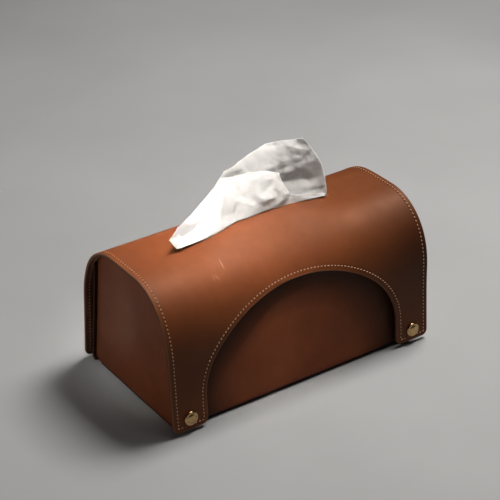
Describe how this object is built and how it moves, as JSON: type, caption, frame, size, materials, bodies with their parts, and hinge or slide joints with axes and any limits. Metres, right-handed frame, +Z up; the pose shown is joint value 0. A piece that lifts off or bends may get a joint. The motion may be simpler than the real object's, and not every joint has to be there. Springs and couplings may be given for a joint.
{
  "type": "tissue box cover",
  "caption": "Loaf-shaped leather tissue box cover: a lined wrap with arched sides that snap to an inner tray, and a slit on top for pulling tissues.",
  "frame": {"origin": "on the floor, under the middle of the cover", "axes": "+X along the slit to the right, -Y to the front with the first arch, +Z up"},
  "size_m": [0.25, 0.142, 0.1847],
  "materials": {
    "leather": "smooth satin cognac leather",
    "lining": "matt split leather lining",
    "felt": "black felt",
    "board": "grey stiffening board",
    "suede": "brown suede",
    "brass": "aged brass",
    "tissue": "soft white tissue paper"
  },
  "bodies": {
    "box": {"base_felt": "felt", "tray_shell": "leather", "base_board": "board", "base_lining": "suede", "end_panel_left": "leather", "end_panel_right": "leather", "cover_crown": "leather", "crown_lining": "lining", "tissue_stack": "tissue", "snap_stud_front_left": "brass", "snap_stud_front_right": "brass", "snap_stud_back_left": "brass", "snap_stud_back_right": "brass", "snap_post_front_left": "brass", "snap_post_front_right": "brass", "snap_post_back_left": "brass", "snap_post_back_right": "brass"},
    "front_side": {"front_flap": "leather", "front_flap_lining": "lining", "snap_cap_front_left": "brass", "snap_cap_front_right": "brass", "snap_socket_front_left": "brass", "snap_socket_front_right": "brass"},
    "back_side": {"back_flap": "leather", "back_flap_lining": "lining", "snap_cap_back_left": "brass", "snap_cap_back_right": "brass", "snap_socket_back_left": "brass", "snap_socket_back_right": "brass"},
    "tissue": {"pulled_tissue": "tissue"}
  },
  "joints": [
    {"name": "front_bend", "type": "hinge", "parent": "box", "child": "front_side", "pos_m": [0, -0.05365, 0.10494], "axis": [-1, 0, 0], "range_deg": [0, 100]},
    {"name": "back_bend", "type": "hinge", "parent": "box", "child": "back_side", "pos_m": [0, 0.05365, 0.10494], "axis": [1, 0, 0], "range_deg": [0, 100]},
    {"name": "tissue_pull", "type": "slide", "parent": "box", "child": "tissue", "axis": [0, 0, 1], "range_m": [0, 0.06]}
  ]
}
